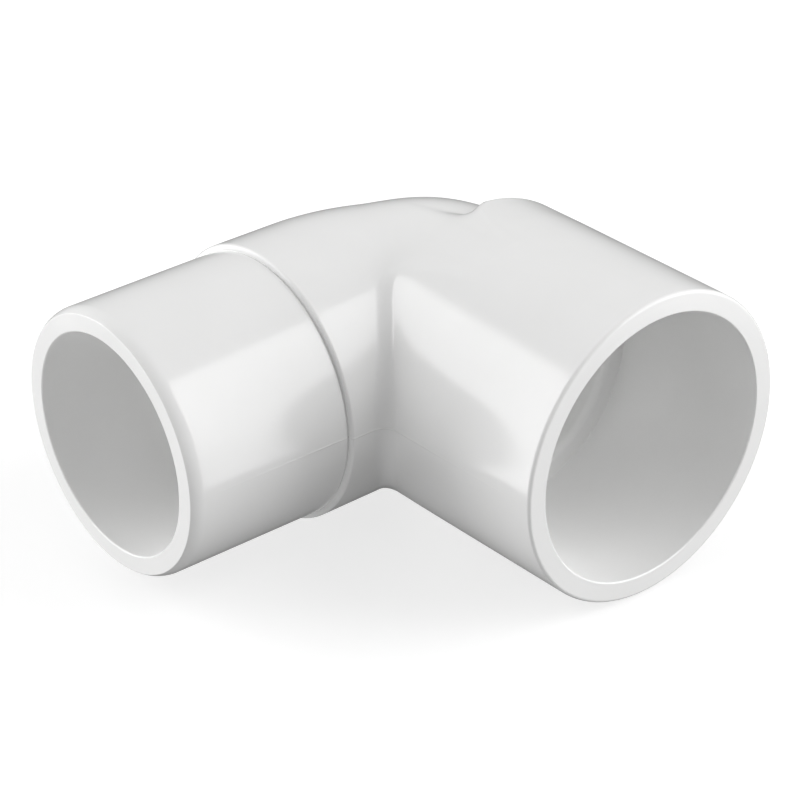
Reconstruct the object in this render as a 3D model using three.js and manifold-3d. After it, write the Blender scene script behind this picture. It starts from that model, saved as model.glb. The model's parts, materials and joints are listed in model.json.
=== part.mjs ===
// A 90-degree street elbow for 1-1/2 inch solvent-weld pipe: a plain spigot at one end, a slip socket at the
// other.
//
// Units are millimetres and +Z is up. The two bores' axes lie in one level plane and cross at a right angle.
// The socket opens along +X and the spigot along -Y. The model's origin is under the middle of its box, on
// the surface that the elbow lies on.
//
// The elbow is one moulding. It is drawn as three zones that meet face to face: the spigot up to its
// shoulder, the bend, and the socket_hub, which starts level with the side of the bend and holds the socket.

import * as THREE from 'three';
import { ParametricGeometry } from 'three/addons/geometries/ParametricGeometry.js';
import { mergeVertices } from 'three/addons/utils/BufferGeometryUtils.js';
import Module from 'manifold-3d';

const wasm = await Module();
wasm.setup();

// ---- Driving dimensions ---------------------------------------------------------------------------------

const PIPE_RADIUS = 24.13;          // outside radius of the pipe that the elbow is made for (1.900 in across)

const SPIGOT_LENGTH = 32.0;         // shoulder to spigot rim
const SPIGOT_WALL = 4.28;           // wall at the shoulder; it also sets the waterway's radius
const SPIGOT_DRAFT = 0.22;          // radius lost from the shoulder to the rim, so that it leaves its mould
const SPIGOT_LEAD_IN = 2.43;        // length of the rounded lead-in at the rim
const SPIGOT_LEAD_IN_DEPTH = 0.82;  // radius that the lead-in takes off

const SOCKET_DEPTH = 31.75;         // pipe-stop ledge to socket rim
const SOCKET_WALL = 3.8;            // wall at the socket rim
const SOCKET_ENTRY_GAP = 0.15;      // gap round the pipe at the socket's mouth
const SOCKET_GRIP = 0.08;           // squeeze on the pipe at the bottom of the tapered socket
const HUB_DRAFT = 0.3;              // radius that the hub gains from its rim to the side of the bend
const HUB_EDGE = 0.65;              // length of the rounded outer edge at the socket rim
const HUB_EDGE_DEPTH = 0.54;        // radius that this edge takes off

const BORE_CHAMFER = 0.2;           // small chamfer inside both rims

const COLLAR_STEP = 1.0;            // height of the shoulder above the spigot
const COLLAR_EDGE = 0.5;            // length of the rounded outer edge of the shoulder
const COLLAR_EDGE_DEPTH = 0.35;     // radius that this edge takes off
const COLLAR_LENGTH = 7.2;          // shoulder plane beyond the side of the hub
const LEDGE_MARGIN = 3.4;           // ledge plane beyond the side of the bend

const BEND_RADIUS = 22.3;           // centreline radius of the outside of the bend
const BALL_ALONG = 7.1;             // the ball that fills out the bend: its centre's place along the socket
const BALL_ACROSS = 3.7;            // and towards the spigot
const WATERWAY_CORNER = 0.7;        // radius of the inside corner of the waterway
const HUB_SETBACK = 10.9;           // how far the hub's rear face lies behind the side of the bend
const HUB_REAR_EDGE = 0.8;          // rounded outer edge of that rear face
const CORNER_FILLET = 3.0;          // fillet in the inside corner, between collar and hub
const FILLET_FADE = 4;              // power of the curve by which it fades out towards the hub's rear face

const FACETS = 64;                  // facets round a full turn
const ARC_STEPS = 6;                // facets across a small rounded edge
const CUT_PAST = 1.0;               // how far a cutting solid runs past the face that it opens
const JOIN_PAST = 0.1;              // how far a straight length runs into the bend that it continues

// ---- Sizes that follow from them ------------------------------------------------------------------------

const waterwayRadius = PIPE_RADIUS - SPIGOT_WALL;
const socketMouthRadius = PIPE_RADIUS + SOCKET_ENTRY_GAP;
const socketBottomRadius = PIPE_RADIUS - SOCKET_GRIP;
const hubRimRadius = socketMouthRadius + SOCKET_WALL;
const hubRadius = hubRimRadius + HUB_DRAFT;
const bodyRadius = PIPE_RADIUS + COLLAR_STEP;

const shoulderPlane = hubRadius + COLLAR_LENGTH;
const ledgePlane = bodyRadius + LEDGE_MARGIN;
const hubRear = bodyRadius - HUB_SETBACK;
const hubZoneStart = bodyRadius;
const spigotRim = shoulderPlane + SPIGOT_LENGTH;
const socketRim = ledgePlane + SOCKET_DEPTH;

const plastic = { color: 0xf1f1ef, roughness: 0.3, metalness: 0 };

// ---- Helpers --------------------------------------------------------------------------------------------

const point = (radius, along) => new THREE.Vector2(radius, along);

// Points of a rounded edge that leaves a barrel smoothly and drops by depth over a length along the axis.
// They run from the barrel towards the rim; direction is +1 or -1 along the axis.
function roundedEdge(barrelRadius, rim, depth, length, direction) {
  const radius = (length ** 2 + depth ** 2) / (2 * depth);
  const sweep = Math.asin(Math.min(1, length / radius));
  const start = rim - direction * length;
  const points = [];
  for (let step = 0; step <= ARC_STEPS; step += 1) {
    const angle = (sweep * step) / ARC_STEPS;
    const drop = radius * (1 - Math.cos(angle));
    points.push(point(barrelRadius - drop, start + direction * radius * Math.sin(angle)));
  }
  return points;
}

// A body of revolution about the Y axis. The profile runs counter-clockwise, with radius to the right.
function turned(profile) {
  return new THREE.LatheGeometry(profile, FACETS);
}

// The same body laid along +X, where the socket's axis is.
function turnedAlongX(profile) {
  return turned(profile).rotateZ(-Math.PI / 2);
}

// A closed geometry as a solid that can be joined and cut.
function solid(geometry) {
  const bare = geometry.clone();
  bare.deleteAttribute('normal');
  bare.deleteAttribute('uv');
  const merged = mergeVertices(bare);
  const corners = Array.from(merged.index.array);
  const triangles = [];
  for (let i = 0; i < corners.length; i += 3) {
    const [a, b, c] = corners.slice(i, i + 3);
    if (a !== b && b !== c && c !== a) triangles.push(a, b, c);
  }
  const vertProperties = new Float32Array(merged.attributes.position.array);
  const triVerts = new Uint32Array(triangles);
  return new wasm.Manifold(new wasm.Mesh({ numProp: 3, vertProperties, triVerts }));
}

// A solid as a geometry that can be drawn.
function drawable(body) {
  const mesh = body.getMesh();
  const geometry = new THREE.BufferGeometry();
  geometry.setAttribute('position', new THREE.BufferAttribute(new Float32Array(mesh.vertProperties), 3));
  geometry.setIndex(new THREE.BufferAttribute(new Uint32Array(mesh.triVerts), 1));
  geometry.computeVertexNormals();
  return geometry;
}

function piece(name, geometry) {
  const mesh = new THREE.Mesh(geometry, new THREE.MeshStandardMaterial(plastic));
  mesh.name = name;
  return mesh;
}

// A round rod along the Y axis.
function rod(radius, from, to) {
  return [point(0, from), point(radius, from), point(radius, to), point(0, to)];
}

// The quarter of space, up to the bend's own axis, that the turn of a bend lies in.
function turningQuarter(radius, bendRadius) {
  const side = bendRadius + radius + CUT_PAST;
  const box = new THREE.BoxGeometry(side, side, 2 * side);
  return solid(box.translate(bendRadius - side / 2, side / 2 - bendRadius, 0));
}

// A quarter of a round bend that joins the spigot's axis to the socket's. Where the section is wider than the
// bend's radius, it stops at the bend's own axis, as a tight bend does.
function quarterBend(radius, bendRadius) {
  const tight = radius > bendRadius;
  const sweep = tight ? 2 * Math.acos(-bendRadius / radius) : 2 * Math.PI;
  const steps = Math.ceil((FACETS * sweep) / (2 * Math.PI));
  const profile = [];
  for (let step = 0; step <= steps; step += 1) {
    const angle = sweep * (step / steps - 0.5);
    const reach = Math.max(0, bendRadius + radius * Math.cos(angle));
    profile.push(point(reach, radius * Math.sin(angle)));
  }
  const ring = turned(profile).rotateX(Math.PI / 2).translate(bendRadius, -bendRadius, 0);
  return solid(ring).intersect(turningQuarter(radius, bendRadius));
}

// ---- Spigot: the plain male end -------------------------------------------------------------------------

function spigotGeometry() {
  const rimRadius = PIPE_RADIUS - SPIGOT_DRAFT;
  const leadIn = roundedEdge(rimRadius, -spigotRim, SPIGOT_LEAD_IN_DEPTH, SPIGOT_LEAD_IN, -1);
  const profile = [
    point(waterwayRadius, -spigotRim + BORE_CHAMFER),
    point(waterwayRadius + BORE_CHAMFER, -spigotRim),
    ...leadIn.reverse(),
    point(PIPE_RADIUS, -shoulderPlane),
    point(waterwayRadius, -shoulderPlane),
  ];
  profile.push(profile[0].clone());
  return turned(profile);
}

// ---- Outside of the bend and the hub --------------------------------------------------------------------

// The straight length behind the shoulder, with its rounded outer edge.
function collar() {
  const edge = roundedEdge(bodyRadius, -shoulderPlane, COLLAR_EDGE_DEPTH, COLLAR_EDGE, -1);
  return solid(turned([
    point(0, -shoulderPlane),
    ...edge.reverse(),
    point(bodyRadius, JOIN_PAST - BEND_RADIUS),
    point(0, JOIN_PAST - BEND_RADIUS),
  ]));
}

// The ball that fills out the outside of the bend.
function ball() {
  const round = new THREE.SphereGeometry(bodyRadius, FACETS, FACETS / 2);
  const placed = solid(round.rotateX(Math.PI / 2).translate(BALL_ALONG, -BALL_ACROSS, 0));
  return placed.intersect(turningQuarter(bodyRadius, BEND_RADIUS));
}

// The hub's barrel, from its rear face to the socket rim.
function hubBarrel() {
  const rearEdge = roundedEdge(hubRadius, hubRear, HUB_REAR_EDGE, HUB_REAR_EDGE, -1);
  const rimEdge = roundedEdge(hubRimRadius, socketRim, HUB_EDGE_DEPTH, HUB_EDGE, 1);
  return solid(turnedAlongX([
    point(0, hubRear),
    ...rearEdge.reverse(),
    point(hubRadius, hubZoneStart),
    ...rimEdge,
    point(0, socketRim),
  ]));
}

// The concave fillet in the inside corner: the space that a sphere leaves when it rolls down the corner,
// touching both barrels. The sphere shrinks to nothing at the hub's rear face. Each section of the fillet is
// the sphere's arc and one corner inside the plastic.
function cornerFillet() {
  const sides = ARC_STEPS + 2;
  const stations = FACETS / 4;
  const lastAngle = Math.acos(hubRear / bodyRadius);
  const section = (u, v, target) => {
    const share = 2 * v - 1;
    const angle = lastAngle * share;
    const sphere = CORNER_FILLET * Math.sqrt(Math.max(0, 1 - share ** FILLET_FADE));
    const across = (bodyRadius + sphere) * Math.cos(angle);
    const height = (bodyRadius + sphere) * Math.sin(angle);
    const along = -Math.sqrt((hubRadius + sphere) ** 2 - height ** 2);
    const toCollar = new THREE.Vector3(-across, 0, -height).normalize();
    const toHub = new THREE.Vector3(0, -along, -height).normalize();
    const side = Math.round(u * sides) % sides;
    if (side > ARC_STEPS) {
      const inside = CORNER_FILLET + sphere;
      target.set(across - inside, along + inside, (height * bodyRadius) / (bodyRadius + sphere));
      return;
    }
    target.lerpVectors(toCollar, toHub, side / ARC_STEPS).setLength(sphere);
    target.add(new THREE.Vector3(across, along, height));
  };
  return solid(new ParametricGeometry(section, sides, stations));
}

function outside() {
  const intoHub = solid(turnedAlongX(rod(bodyRadius, BEND_RADIUS - JOIN_PAST, ledgePlane)));
  return quarterBend(bodyRadius, BEND_RADIUS)
    .add(collar())
    .add(intoHub)
    .add(ball())
    .add(hubBarrel())
    .add(cornerFillet());
}

// ---- Inside: waterway and socket ------------------------------------------------------------------------

function waterway() {
  const turn = waterwayRadius + WATERWAY_CORNER;
  const fromSpigot = solid(turned(rod(waterwayRadius, -shoulderPlane - CUT_PAST, JOIN_PAST - turn)));
  const toSocket = solid(turnedAlongX(rod(waterwayRadius, turn - JOIN_PAST, ledgePlane + CUT_PAST)));
  return quarterBend(waterwayRadius, turn).add(fromSpigot).add(toSocket);
}

// The tapered socket, from the ledge that stops the pipe to past the rim.
function socket() {
  return solid(turnedAlongX([
    point(0, ledgePlane),
    point(socketBottomRadius, ledgePlane),
    point(socketMouthRadius, socketRim - BORE_CHAMFER),
    point(socketMouthRadius + BORE_CHAMFER + CUT_PAST, socketRim + CUT_PAST),
    point(0, socketRim + CUT_PAST),
  ]));
}

// The space on the socket's side of the plane where the hub zone starts.
function hubZone() {
  const side = 2 * (socketRim + hubRadius);
  return solid(new THREE.BoxGeometry(side, side, side).translate(hubZoneStart + side / 2, 0, 0));
}

// ---- The elbow, placed over its origin ------------------------------------------------------------------

const elbow = new THREE.Group();
elbow.position.set(
  (bodyRadius - socketRim) / 2,
  (spigotRim - hubRadius) / 2,
  hubRadius,
);
const bendAndHub = outside().subtract(waterway()).subtract(socket());
elbow.add(piece('spigot', spigotGeometry()));
elbow.add(piece('bend', drawable(bendAndHub.subtract(hubZone()))));
elbow.add(piece('socket_hub', drawable(bendAndHub.intersect(hubZone()))));

export default elbow;
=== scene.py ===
"""A white PVC street elbow: one glossy moulding with a spigot, a bend and a slip socket, on a pale floor.

The moulding's lengths are millimetres in its own frame, whose origin is where the two bore axes cross: the
socket opens along +X and the spigot along -Y. They become metres in the shared frame when the mesh is made.
The studio's lengths are metres.
"""

import json
import math

import bpy
import numpy as np
from mathutils import Matrix, Vector


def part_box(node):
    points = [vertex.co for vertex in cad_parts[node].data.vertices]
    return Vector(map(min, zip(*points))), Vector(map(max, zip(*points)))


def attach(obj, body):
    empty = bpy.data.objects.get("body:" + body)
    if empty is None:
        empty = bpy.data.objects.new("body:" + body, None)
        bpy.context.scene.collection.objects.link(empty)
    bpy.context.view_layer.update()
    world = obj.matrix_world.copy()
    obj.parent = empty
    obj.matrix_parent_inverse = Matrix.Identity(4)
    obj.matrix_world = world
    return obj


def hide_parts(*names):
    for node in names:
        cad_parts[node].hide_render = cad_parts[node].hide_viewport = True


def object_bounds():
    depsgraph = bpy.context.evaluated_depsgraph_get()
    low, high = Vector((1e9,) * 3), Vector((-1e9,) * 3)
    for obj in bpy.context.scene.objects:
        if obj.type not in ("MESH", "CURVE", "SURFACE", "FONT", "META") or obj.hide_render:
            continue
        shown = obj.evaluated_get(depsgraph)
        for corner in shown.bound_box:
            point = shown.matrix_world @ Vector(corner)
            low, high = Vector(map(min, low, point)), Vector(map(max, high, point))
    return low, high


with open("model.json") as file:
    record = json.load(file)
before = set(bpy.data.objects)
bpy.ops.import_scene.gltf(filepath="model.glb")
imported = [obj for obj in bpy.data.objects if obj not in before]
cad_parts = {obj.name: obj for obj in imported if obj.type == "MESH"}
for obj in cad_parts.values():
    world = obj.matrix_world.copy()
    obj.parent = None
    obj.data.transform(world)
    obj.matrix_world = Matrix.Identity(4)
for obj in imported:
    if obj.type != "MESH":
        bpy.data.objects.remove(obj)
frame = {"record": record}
cad_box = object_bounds()

MM = 0.001


# ---- Sizes that the frame gives --------------------------------------------------------------------------


def node_box(node):
    """Lowest and highest corner of a CAD node, in millimetres."""
    return [np.array(corner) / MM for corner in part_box(node)]


def mount_place(name):
    """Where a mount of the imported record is, in millimetres."""
    mounts = {mount["name"]: mount for mount in frame["record"]["mounts"]}
    return np.array(mounts[name]["pos_m"]) / MM


spigot_low, spigot_high = node_box("spigot")
bend_low, bend_high = node_box("bend")
hub_low, hub_high = node_box("socket_hub")

hub_radius = (bend_high[2] - bend_low[2]) / 2
crossing = np.array([
    (spigot_low[0] + spigot_high[0]) / 2,
    bend_high[1] - hub_radius,
    bend_low[2] + hub_radius,
])
pipe_radius = (spigot_high[0] - spigot_low[0]) / 2
body_radius = crossing[0] - bend_low[0]
shoulder = crossing[1] - bend_low[1]
spigot_rim = crossing[1] - spigot_low[1]
socket_rim = hub_high[0] - crossing[0]
ledge = mount_place("pipe_stop")[0] - crossing[0]

# ---- Sizes of the moulding -------------------------------------------------------------------------------

SPIGOT_WALL = 4.28          # wall at the shoulder; it also sets the waterway's radius
SPIGOT_DRAFT = 0.22         # radius lost from the shoulder to the rim
LEAD_IN = 2.43              # length of the rounded lead-in at the spigot's rim
LEAD_IN_DEPTH = 0.82        # radius that it takes off
COLLAR_EDGE = 0.5           # length of the rounded outer edge of the shoulder
COLLAR_EDGE_DEPTH = 0.35    # radius that it takes off
SHOULDER_GROOVE = 0.22      # depth and half width of the fine groove at the foot of the shoulder
SOCKET_WALL = 3.8           # wall at the socket rim
HUB_DRAFT = 0.3             # radius that the hub gains from its rim to the side of the bend
HUB_EDGE = 0.65             # length of the rounded outer edge at the socket rim
HUB_EDGE_DEPTH = 0.54       # radius that it takes off
SOCKET_TAPER = 0.23         # radius that the socket loses from its mouth to the ledge
BORE_CHAMFER = 0.2          # chamfer inside both rims
BEND_RADIUS = 22.3          # centreline radius of the outside of the bend
BALL = (7.1, -3.7, 0.0)     # centre of the ball that fills out the heel of the bend
BALL_BLEND = 2.0            # how softly the ball runs into the bend
HUB_SETBACK = 10.9          # how far the hub's rear face lies behind the side of the bend
WATERWAY_CORNER = 0.7       # radius of the inside corner of the waterway

waterway_radius = pipe_radius - SPIGOT_WALL
hub_rim_radius = hub_radius - HUB_DRAFT
mouth_radius = hub_rim_radius - SOCKET_WALL
hub_rear = body_radius - HUB_SETBACK

# ---- Small helpers ---------------------------------------------------------------------------------------


def eased(value, keys, levels):
    """A smooth curve through the levels at the keys, level at each key."""
    value = np.clip(value, keys[0], keys[-1])
    span = np.clip(np.searchsorted(keys, value, side="right") - 1, 0, len(keys) - 2)
    keys, levels = np.asarray(keys, float), np.asarray(levels, float)
    share = (value - keys[span]) / (keys[span + 1] - keys[span])
    share = share * share * (3 - 2 * share)
    return levels[span] + (levels[span + 1] - levels[span]) * share


def round_union(a, b, radius):
    """Distance to two joined solids, with a fillet of that radius between them."""
    gap = np.hypot(np.maximum(radius - a, 0), np.maximum(radius - b, 0))
    return np.maximum(radius, np.minimum(a, b)) - gap


def round_overlap(a, b, radius):
    """Distance to what two solids share, with its edge rounded to that radius."""
    corner = np.hypot(np.maximum(a + radius, 0), np.maximum(b + radius, 0))
    return np.minimum(-radius, np.maximum(a, b)) + corner


# ---- Columns of the skin ---------------------------------------------------------------------------------
# The skin is one grid, closed both ways. A column runs from end to end outside and back inside, and a ring
# goes round the bore. Columns crowd together at the level plane, where the parting line is.

COLUMNS_PER_SIDE = 116
SEAM_OFFSETS = (0.0, 0.0028, 0.0056, 0.0088, 0.013, 0.020)    # radians from the level plane


def column_angles():
    near = np.array(SEAM_OFFSETS)
    between = np.linspace(near[-1], math.pi - near[-1], COLUMNS_PER_SIDE + 2)[1:-1]
    half = np.concatenate([near, between, math.pi - near[::-1]])
    return np.concatenate([half, -half[-2:0:-1]])


angles = column_angles()


def ring(centre, outward, radius):
    """A ring round a centre. Outward is the level direction of the first column, on the heel's side."""
    across = np.cos(angles)[:, None] * np.asarray(outward, float)
    upright = np.sin(angles)[:, None] * np.array([0.0, 0.0, 1.0])
    return np.asarray(centre, float) + np.reshape(radius, (-1, 1)) * (across + upright)


def spigot_ring(radius, along):
    return ring((0, -along, 0), (-1, 0, 0), radius)


def socket_ring(radius, along):
    return ring((along, 0, 0), (0, 1, 0), radius)


# ---- Profiles of the straight ends -----------------------------------------------------------------------

ARC_STEPS = 6               # rings across a small rounded corner
SUPPORT = 0.06              # how far past a corner the ring lies that keeps the flat beside it flat


def corner(before, at, after, radius):
    """Points of a profile round one corner: a support point, an arc and a support point."""
    before, at, after = (np.array(p, float) for p in (before, at, after))
    one = (before - at) / np.linalg.norm(before - at)
    two = (after - at) / np.linalg.norm(after - at)
    half = math.acos(np.clip(one @ two, -1, 1)) / 2
    reach = radius / math.tan(half)
    middle = at + (one + two) / np.linalg.norm(one + two) * radius / math.sin(half)
    start, end = at + one * reach - middle, at + two * reach - middle
    sweep = math.pi - 2 * half
    points = [at + one * (reach + SUPPORT)]
    for step in range(ARC_STEPS + 1):
        share = step / ARC_STEPS
        weight = math.sin((1 - share) * sweep), math.sin(share * sweep)
        points.append(middle + (start * weight[0] + end * weight[1]) / math.sin(sweep))
    points.append(at + two * (reach + SUPPORT))
    return points


def rounded_edge(barrel_radius, rim, depth, length):
    """Points of an edge that leaves a barrel smoothly and drops by depth over a length, towards the rim."""
    radius = (length**2 + depth**2) / (2 * depth)
    sweep = math.asin(min(1, length / radius))
    turn = [sweep * step / (2 * ARC_STEPS) for step in range(2 * ARC_STEPS + 1)]
    return [(barrel_radius - radius * (1 - math.cos(t)), rim - length + radius * math.sin(t)) for t in turn]


def spread(start, end, count):
    """Points between two points of a profile, without either."""
    shares = [step / (count + 1) for step in range(1, count + 1)]
    return [tuple(np.array(start) + (np.array(end) - np.array(start)) * share) for share in shares]


# ---- Outside of the spigot and collar --------------------------------------------------------------------

RIM_CORNER = 0.12           # radius of the small corners of both rims
SHOULDER_CORNER = 0.05      # radius of the outer edge of the groove at the foot of the shoulder
FAN_CLEARANCE = 5.0         # how far outside the inside corner the sections of the bend fan out from
SPIGOT_RINGS = 12           # rings along a straight stretch


def spigot_outside():
    """Rings from the spigot's rim to where the sections of the bend start to turn."""
    rim_radius = pipe_radius - SPIGOT_DRAFT
    lead_in = rounded_edge(rim_radius, spigot_rim, LEAD_IN_DEPTH, LEAD_IN)[::-1]
    collar = rounded_edge(body_radius, shoulder, COLLAR_EDGE_DEPTH, COLLAR_EDGE)[::-1]
    bore_edge = (waterway_radius + BORE_CHAMFER, spigot_rim)
    profile = corner((waterway_radius, spigot_rim - BORE_CHAMFER), bore_edge, lead_in[0], RIM_CORNER / 2)
    profile += corner(bore_edge, lead_in[0], lead_in[2], RIM_CORNER)
    profile += lead_in[2:]
    groove_start = (pipe_radius, shoulder + 2 * SHOULDER_GROOVE)
    groove_end = (pipe_radius - SHOULDER_GROOVE, shoulder + SHOULDER_CORNER)
    profile += spread(lead_in[-1], groove_start, SPIGOT_RINGS)
    profile += corner(lead_in[-1], groove_start, groove_end, SHOULDER_CORNER)
    profile += [groove_end, (groove_end[0], shoulder), (pipe_radius, shoulder)]
    profile += collar
    profile += spread(collar[-1], (body_radius, hub_radius + FAN_CLEARANCE), 1)
    return [spigot_ring(radius, along) for radius, along in profile]


# ---- Outside of the bend ---------------------------------------------------------------------------------

# How the hub's rear step looks round the hub, by the angle from the heel's side (0) over the top (90) to the
# inside corner (180): a crisp face at the heel, a soft ramp beyond the top, and a fillet in the corner. The
# tables give the face's lean, its shift towards the socket, and the radii of its outer edge and its foot.
STEP_ANGLES = np.radians([0, 84, 100, 116, 134, 150, 180])
STEP_LEAN = np.radians([0, 0, 64, 66, 20, 0, 0])
STEP_SHIFT = [0, 0, 1.8, 3.0, 0, 0, 0]
STEP_EDGE = [0.8, 1.4, 6.0, 7.0, 1.0, 0.8, 0.8]
STEP_FOOT = [0.7, 1.4, 4.5, 5.0, 1.2, 2.0, 3.0]
RAMP_LENGTH = 11.0          # the ramp's furthest reach behind the hub's rear face


def body_distance(p):
    """Distance outside the bend itself: straight, quarter turn and straight, with the ball at the heel."""
    x, y, z = p[..., 0], p[..., 1], p[..., 2]
    to_spigot = np.hypot(np.hypot(x, z), np.maximum(y + BEND_RADIUS, 0))
    to_socket = np.hypot(np.hypot(y, z), np.maximum(BEND_RADIUS - x, 0))
    turn = np.hypot(np.hypot(x - BEND_RADIUS, y + BEND_RADIUS) - BEND_RADIUS, z)
    turn = np.where((x < BEND_RADIUS) & (y > -BEND_RADIUS), turn, np.inf)
    tube = np.minimum(np.minimum(to_spigot, to_socket), turn) - body_radius
    ball = np.linalg.norm(p - np.array(BALL), axis=-1) - body_radius
    return round_union(tube, ball, BALL_BLEND)


def outside_distance(p):
    """Distance outside the bend and the hub together."""
    x, y, z = p[..., 0], p[..., 1], p[..., 2]
    turned = np.arctan2(np.abs(z), y)
    draft = HUB_DRAFT * np.clip((x - body_radius) / (socket_rim - body_radius), 0, 1)
    radial = np.hypot(y, z) - (hub_radius - draft)
    lean = eased(turned, STEP_ANGLES, STEP_LEAN)
    rear = hub_rear + eased(turned, STEP_ANGLES, STEP_SHIFT) - x
    rear = np.maximum(rear * np.cos(lean) + radial * np.sin(lean), hub_rear - RAMP_LENGTH - x)
    hub = round_overlap(radial, rear, eased(turned, STEP_ANGLES, STEP_EDGE))
    return round_union(body_distance(p), hub, eased(turned, STEP_ANGLES, STEP_FOOT))


FINE_SECTIONS = 1200        # sections that each column's line is first followed through
BEND_RINGS = 150            # rings that are kept of them
RING_SPACING = 1.3          # millimetres of a column that weigh as much
RING_TURN = 0.11            # as this much turning, when the rings are shared out
HALVINGS = 44               # steps of the search for the surface along a ray
FURTHEST = 60.0             # a ray's end, outside the elbow
EVENING_PASSES = 3          # times that ring places are averaged with the neighbouring columns'


def bend_outside():
    """Rings of the bend, from the collar to the hub's barrel. Each column's line is followed through many
    sections that fan out from beyond the inside corner, and rings are kept closest where it turns most."""
    fan = np.linspace(0, math.pi / 2, FINE_SECTIONS)
    outward = np.stack([-np.cos(fan), np.sin(fan), 0 * fan], -1)
    origin = np.array([body_radius + FAN_CLEARANCE, -hub_radius - FAN_CLEARANCE, 0])
    reach = np.interp(fan, [0, math.pi / 2], [origin[0], -origin[1]])
    centre = origin + reach[:, None] * outward
    ray = np.cos(angles)[:, None, None] * outward
    ray = ray + np.sin(angles)[:, None, None] * np.array([0, 0, 1])
    low = np.zeros((len(angles), FINE_SECTIONS))
    high = np.full_like(low, FURTHEST)
    for _ in range(HALVINGS):
        middle = (low + high) / 2
        inside = outside_distance(centre + middle[..., None] * ray) < 0
        low = np.where(inside, middle, low)
        high = np.where(inside, high, middle)
    lines = centre + low[..., None] * ray
    return list(share_out(lines, BEND_RINGS).transpose(1, 0, 2))


def share_out(lines, count):
    """Points along each line, closer together where it turns, and even from one line to the next."""
    steps = np.diff(lines, axis=1)
    lengths = np.linalg.norm(steps, axis=-1)
    directions = steps / lengths[..., None]
    cosines = np.clip((directions[:, 1:] * directions[:, :-1]).sum(-1), -1, 1)
    turns = np.pad(np.arccos(cosines), ((0, 0), (1, 0)))
    weight = np.cumsum(lengths / RING_SPACING + turns / RING_TURN, axis=1)
    weight = np.pad(weight, ((0, 0), (1, 0))) / weight[:, -1:]
    index = np.arange(weight.shape[1])
    places = np.stack([np.interp(np.linspace(0, 1, count), row, index) for row in weight])
    for _ in range(EVENING_PASSES):
        places = (np.roll(places, 1, 0) + 2 * places + np.roll(places, -1, 0)) / 4
    whole = np.minimum(places.astype(int), lines.shape[1] - 2)
    part = (places - whole)[..., None]
    row = np.arange(len(lines))[:, None]
    return lines[row, whole] * (1 - part) + lines[row, whole + 1] * part


# ---- Outside of the hub, and the socket ------------------------------------------------------------------

LEDGE_CORNER = 1.3          # radius of the ledge's inner edge
BELOW_LEDGE = 3.0           # how far past the ledge the waterway's first ring lies
SOCKET_RINGS = 10           # rings along the socket


def hub_barrel_radius(along):
    return hub_radius - HUB_DRAFT * (along - body_radius) / (socket_rim - body_radius)


def hub_and_socket():
    """Rings from the end of the bend, round the rim and down the socket to the ledge."""
    start = body_radius + FAN_CLEARANCE
    edge = rounded_edge(hub_rim_radius, socket_rim, HUB_EDGE_DEPTH, HUB_EDGE)
    bore_edge = (mouth_radius + BORE_CHAMFER, socket_rim)
    mouth = (mouth_radius, socket_rim - BORE_CHAMFER)
    bottom = (mouth_radius - SOCKET_TAPER, ledge)
    step = (waterway_radius, ledge)
    profile = spread((hub_barrel_radius(start), start), edge[0], SPIGOT_RINGS)
    profile += edge[:-2]
    profile += corner(edge[-3], edge[-1], bore_edge, RIM_CORNER)
    profile += corner(edge[-1], bore_edge, mouth, RIM_CORNER / 2)
    profile += corner(bore_edge, mouth, bottom, RIM_CORNER / 2)
    profile += spread(mouth, bottom, SOCKET_RINGS)
    profile += corner(mouth, bottom, step, RIM_CORNER)
    profile += corner(bottom, step, (waterway_radius, ledge - BELOW_LEDGE), LEDGE_CORNER)
    return [socket_ring(radius, along) for radius, along in profile]


# ---- Waterway --------------------------------------------------------------------------------------------

WATERWAY_RINGS = 48         # rings round the inside of the bend
BEFORE_TURN = 1.0           # how far before the turn the last ring of the straight lies


def waterway():
    """Rings from below the ledge, round the bend and out to the spigot's mouth."""
    turn = waterway_radius + WATERWAY_CORNER
    centre = np.array([turn, -turn, 0])
    straight = (ledge - BELOW_LEDGE, turn + BEFORE_TURN)
    rings = [socket_ring(waterway_radius, along) for along in straight]
    for step in range(WATERWAY_RINGS + 1):
        angle = math.pi / 2 * (1 - step / WATERWAY_RINGS)
        outward = np.array([-math.cos(angle), math.sin(angle), 0])
        rings.append(ring(centre + turn * outward, outward, waterway_radius))
    mouth = (waterway_radius, spigot_rim - BORE_CHAMFER)
    bore_edge = (waterway_radius + BORE_CHAMFER, spigot_rim)
    profile = spread((waterway_radius, turn), mouth, SPIGOT_RINGS)
    profile += corner((waterway_radius, turn), mouth, bore_edge, RIM_CORNER / 2)
    return rings + [spigot_ring(radius, along) for radius, along in profile]


# ---- The skin --------------------------------------------------------------------------------------------

SEAM_HEIGHT = 0.12          # the parting line's ridge in the inside corner
SEAM_WIDTH = 0.16           # half its width
SEAM_REACH = (0, 8, 20, 45)             # distances from the inside corner
SEAM_STRENGTH = (1, 0.6, 0.12, 0.06)    # share of the ridge's height that is left there


def raise_seam(grid, outside_rings):
    """Raises the fine ridge that the mould's two halves leave along the level plane, on the outside only."""
    along = np.roll(grid, -1, 0) - np.roll(grid, 1, 0)
    around = np.roll(grid, -1, 1) - np.roll(grid, 1, 1)
    normal = np.cross(around, along)
    normal /= np.linalg.norm(normal, axis=-1, keepdims=True)
    height = np.exp(-((grid[..., 2] / SEAM_WIDTH) ** 2) * 2)
    height[outside_rings:] = 0
    corner_at = np.array([body_radius, -hub_radius, 0])
    away = np.linalg.norm(grid - corner_at, axis=-1)
    strength = eased(away, SEAM_REACH, SEAM_STRENGTH)
    return grid + normal * (SEAM_HEIGHT * height * strength)[..., None]


CORNER_RINGS = ARC_STEPS + 3                    # rings that corner() gives
BORE_RINGS = SOCKET_RINGS + 3 * CORNER_RINGS    # rings from the socket's mouth to its ledge


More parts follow.
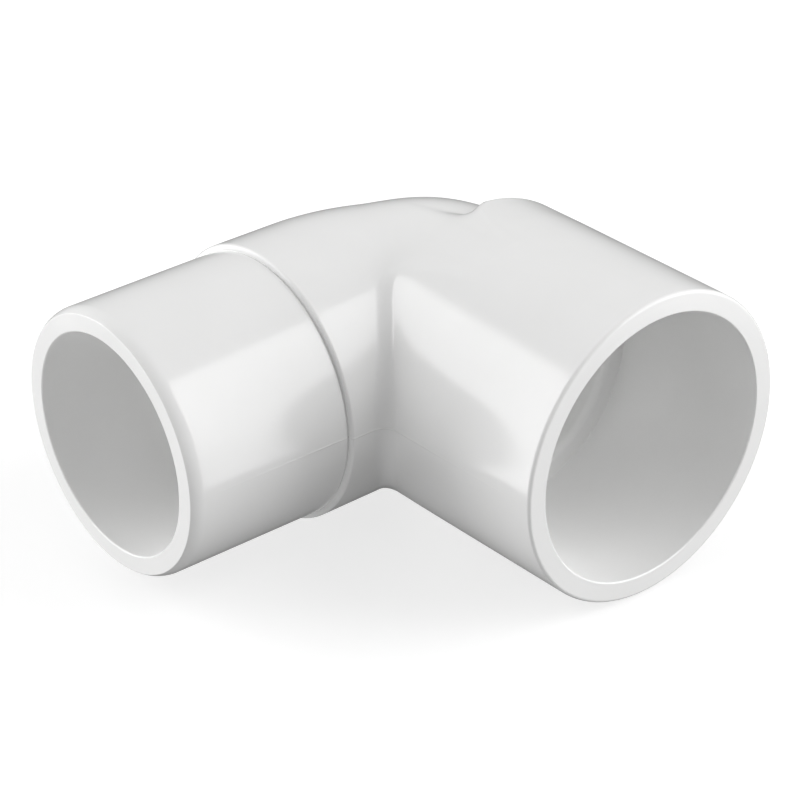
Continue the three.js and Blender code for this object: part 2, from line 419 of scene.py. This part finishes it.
def skin_mesh():
    """The whole skin. Its attribute "bore" is 1 inside the socket and the waterway, and 0 outside."""
    from_outside = spigot_outside() + bend_outside() + hub_and_socket()
    outside_rings = len(from_outside) - BORE_RINGS
    grid = raise_seam(np.array(from_outside + waterway()), outside_rings)
    rows, columns = grid.shape[:2]
    index = np.arange(rows * columns).reshape(rows, columns)
    right = np.roll(index, -1, 1)
    up = np.roll(index, -1, 0)
    diagonal = np.roll(right, -1, 0)
    faces = np.stack([index, up, diagonal, right], -1).reshape(-1, 4)
    mesh = bpy.data.meshes.new("elbow_skin")
    mesh.from_pydata(((grid + crossing) * MM).reshape(-1, 3).tolist(), [], faces.tolist())
    in_bore = np.repeat(np.arange(rows) >= outside_rings, columns)
    bore = mesh.attributes.new("bore", "FLOAT", "POINT")
    bore.data.foreach_set("value", in_bore.astype(float))
    mesh.polygons.foreach_set("use_smooth", [True] * len(mesh.polygons))
    mesh.update()
    return mesh


# ---- Material --------------------------------------------------------------------------------------------


class Nodes:
    """Short calls for building a material's nodes."""

    def __init__(self, material):
        material.use_nodes = True
        self.tree = material.node_tree
        self.shader = self.tree.nodes["Principled BSDF"]

    def add(self, kind, **values):
        node = self.tree.nodes.new(kind)
        for name, value in values.items():
            if name in node.inputs:
                node.inputs[name].default_value = value
            else:
                setattr(node, name, value)
        return node

    def link(self, source, target):
        self.tree.links.new(source, target)

    def noise(self, place, scale, detail, roughness=0.5):
        node = self.add("ShaderNodeTexNoise", Scale=scale, Detail=detail, Roughness=roughness)
        self.link(place, node.inputs["Vector"])
        return node.outputs["Fac"]

    def between(self, source, low, high, to_low, to_high):
        node = self.add("ShaderNodeMapRange", interpolation_type="SMOOTHSTEP")
        for socket, value in zip(node.inputs[1:5], (low, high, to_low, to_high)):
            socket.default_value = value
        self.link(source, node.inputs[0])
        return node.outputs[0]


# Noise scales count cells per metre.
PVC_IOR = 1.53
CLOUD_SCALE = 45            # broad clouds in the colour
DARKER_WHITE, LIGHTER_WHITE = (0.875, 0.875, 0.870, 1), (0.900, 0.900, 0.896, 1)
SMEAR_SCALE = 110           # handling smears, which change the gloss
GLOSSIER, DULLER = 0.13, 0.18    # roughness between the smears and in them
BORE_DULLNESS = 0.28        # the mould's core leaves the inside this much rougher than the outside
NOISE_SPAN = 0.3, 0.7       # the part of a noise's range that colour and gloss follow
GRAIN_SCALE, GRAIN_DEPTH = 900, 0.00002    # the moulded surface's fine grain, depth in metres
WAVE_SCALE, WAVE_DEPTH = 70, 0.0003        # and its slow waves, where the plastic shrank
BUMP_STRENGTH = 0.1


def white_pvc():
    material = bpy.data.materials.new("white_pvc")
    nodes = Nodes(material)
    shader = nodes.shader
    shader.inputs["IOR"].default_value = PVC_IOR
    place = nodes.add("ShaderNodeTexCoord").outputs["Object"]

    cloud = nodes.noise(place, CLOUD_SCALE, 3)
    colour = nodes.add("ShaderNodeValToRGB")
    for stop, at, white in zip(colour.color_ramp.elements, NOISE_SPAN, (DARKER_WHITE, LIGHTER_WHITE)):
        stop.position = at
        stop.color = white
    nodes.link(cloud, colour.inputs["Fac"])
    nodes.link(colour.outputs["Color"], shader.inputs["Base Color"])

    smear = nodes.noise(place, SMEAR_SCALE, 4, 0.6)
    bore = nodes.add("ShaderNodeAttribute", attribute_name="bore")
    dull = nodes.add("ShaderNodeMath", operation="MULTIPLY_ADD")
    dull.inputs[1].default_value = BORE_DULLNESS
    nodes.link(bore.outputs["Fac"], dull.inputs[0])
    nodes.link(nodes.between(smear, *NOISE_SPAN, GLOSSIER, DULLER), dull.inputs[2])
    nodes.link(dull.outputs[0], shader.inputs["Roughness"])

    grain = nodes.noise(place, GRAIN_SCALE, 2)
    waves = nodes.noise(place, WAVE_SCALE, 2)
    fine = nodes.add("ShaderNodeBump", Strength=BUMP_STRENGTH, Distance=GRAIN_DEPTH)
    broad = nodes.add("ShaderNodeBump", Strength=BUMP_STRENGTH, Distance=WAVE_DEPTH)
    nodes.link(grain, fine.inputs["Height"])
    nodes.link(waves, broad.inputs["Height"])
    nodes.link(broad.outputs["Normal"], fine.inputs["Normal"])
    nodes.link(fine.outputs["Normal"], shader.inputs["Normal"])
    return material


def elbow():
    skin = bpy.data.objects.new("elbow_skin", skin_mesh())
    bpy.context.scene.collection.objects.link(skin)
    skin.data.materials.append(white_pvc())
    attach(skin, "root")
    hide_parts("spigot", "bend", "socket_hub")


# ---- Studio ----------------------------------------------------------------------------------------------

FLOOR_SIZE = 6.0
FLOOR_DROP = 0.0002         # how far it lies below the elbow, so that the two never share a plane
FLOOR_COLOUR, FLOOR_ROUGHNESS = (0.5, 0.5, 0.5, 1), 0.7
FLOOR_GLOW = 0.6            # the floor is lit from within, so that it is as pale as a studio's white sweep
CAMERA_AZIMUTH, CAMERA_ELEVATION, CAMERA_ROLL = 50.35, 30.02, -0.67    # degrees
CAMERA_DISTANCE = 0.4645
CAMERA_SIDEWAYS, CAMERA_UPWARDS = -0.00345, -0.01457
CAMERA_LENS, CAMERA_SENSOR = 115.64, 36
NEAR_CLIP = 0.01


def place_floor():
    """A floor that shows and catches the elbow's shadow. It neither lights the elbow nor blocks the light
    from below."""
    low = cad_box[0]
    bpy.ops.mesh.primitive_plane_add(size=FLOOR_SIZE, location=(0, 0, low.z - FLOOR_DROP))
    floor = bpy.context.object
    floor.name = "floor"
    material = bpy.data.materials.new("pale_floor")
    nodes = Nodes(material)
    nodes.shader.inputs["Roughness"].default_value = FLOOR_ROUGHNESS
    nodes.shader.inputs["Base Color"].default_value = FLOOR_COLOUR
    nodes.shader.inputs["Emission Color"].default_value = (1, 1, 1, 1)
    nodes.shader.inputs["Emission Strength"].default_value = FLOOR_GLOW
    floor.data.materials.append(material)
    floor.visible_diffuse = False
    floor.visible_glossy = False
    floor.visible_shadow = False


def camera_axes(azimuth, elevation, roll):
    """The camera's right, up and back directions, and its right and up before the roll."""
    a, e, r = (math.radians(angle) for angle in (azimuth, elevation, roll))
    back = Vector((math.sin(a) * math.cos(e), -math.cos(a) * math.cos(e), math.sin(e)))
    right = Vector((math.cos(a), math.sin(a), 0))
    up = back.cross(right)
    return right * math.cos(r) + up * math.sin(r), up * math.cos(r) - right * math.sin(r), back, right, up


def place_camera():
    camera = bpy.data.objects.new("camera", bpy.data.cameras.new("camera"))
    bpy.context.scene.collection.objects.link(camera)
    x_axis, y_axis, back, right, up = camera_axes(CAMERA_AZIMUTH, CAMERA_ELEVATION, CAMERA_ROLL)
    place = Vector(crossing * MM) + back * CAMERA_DISTANCE + right * CAMERA_SIDEWAYS + up * CAMERA_UPWARDS
    turned = Matrix((x_axis, y_axis, back)).transposed()
    camera.matrix_world = Matrix.Translation(place) @ turned.to_4x4()
    camera.data.lens = CAMERA_LENS
    camera.data.sensor_width = CAMERA_SENSOR
    camera.data.clip_start = NEAR_CLIP
    bpy.context.scene.camera = camera


def soft_box(name, azimuth, elevation, distance, size, power, glossy):
    """A rectangular light that faces the elbow from that direction. It shows in the elbow's gloss or only
    lights it."""
    a, e = math.radians(azimuth), math.radians(elevation)
    back = Vector((math.sin(a) * math.cos(e), -math.cos(a) * math.cos(e), math.sin(e)))
    light = bpy.data.lights.new(name, "AREA")
    light.shape = "RECTANGLE"
    light.size, light.size_y = size
    light.energy = power
    holder = bpy.data.objects.new(name, light)
    holder.visible_glossy = glossy
    bpy.context.scene.collection.objects.link(holder)
    holder.location = Vector(crossing * MM) + back * distance
    holder.rotation_euler = back.to_track_quat("Z", "Y").to_euler()


# Brightness of the room by height: from straight down (-1) over the horizon (0) to straight up (1).
ROOM_HEIGHTS = (-1, -0.1, 0.1, 1)
ROOM_LEVELS = (0.11, 0.11, 0.42, 0.42)
SOFT_BOXES = (
    # name, azimuth, elevation, distance, (width, height), power, shows in the gloss
    ("left", -44, 9, 1.0, (0.8, 1.35), 10.9, True),
    ("right", 134, 14, 1.0, (0.8, 1.68), 12.0, True),
    ("front", 50, 32, 1.2, (0.9, 0.9), 0.4, False),
    ("near", 95, 45, 1.2, (0.7, 0.7), 1.1, False),
    ("back", -130, 32, 1.2, (1.2, 0.8), 1.0, False),
    ("table", 5, -45, 1.0, (0.9, 0.9), 2.9, False),
)


def light_studio():
    world = bpy.data.worlds.new("studio")
    bpy.context.scene.world = world
    world.use_nodes = True
    tree = world.node_tree
    place = tree.nodes.new("ShaderNodeTexCoord")
    split = tree.nodes.new("ShaderNodeSeparateXYZ")
    height = tree.nodes.new("ShaderNodeMapRange")
    height.inputs["From Min"].default_value = -1
    levels = tree.nodes.new("ShaderNodeValToRGB")
    stops = levels.color_ramp.elements
    stops.remove(stops[1])
    for at, level in zip(ROOM_HEIGHTS, ROOM_LEVELS):
        stop = stops[0] if at == ROOM_HEIGHTS[0] else stops.new((at + 1) / 2)
        stop.color = (level, level, level, 1)
    tree.links.new(place.outputs["Generated"], split.inputs[0])
    tree.links.new(split.outputs["Z"], height.inputs["Value"])
    tree.links.new(height.outputs[0], levels.inputs["Fac"])
    tree.links.new(levels.outputs["Color"], tree.nodes["Background"].inputs["Color"])
    for box in SOFT_BOXES:
        soft_box(*box)
    bpy.context.scene.view_settings.view_transform = "Standard"


elbow()
place_floor()
place_camera()
light_studio()
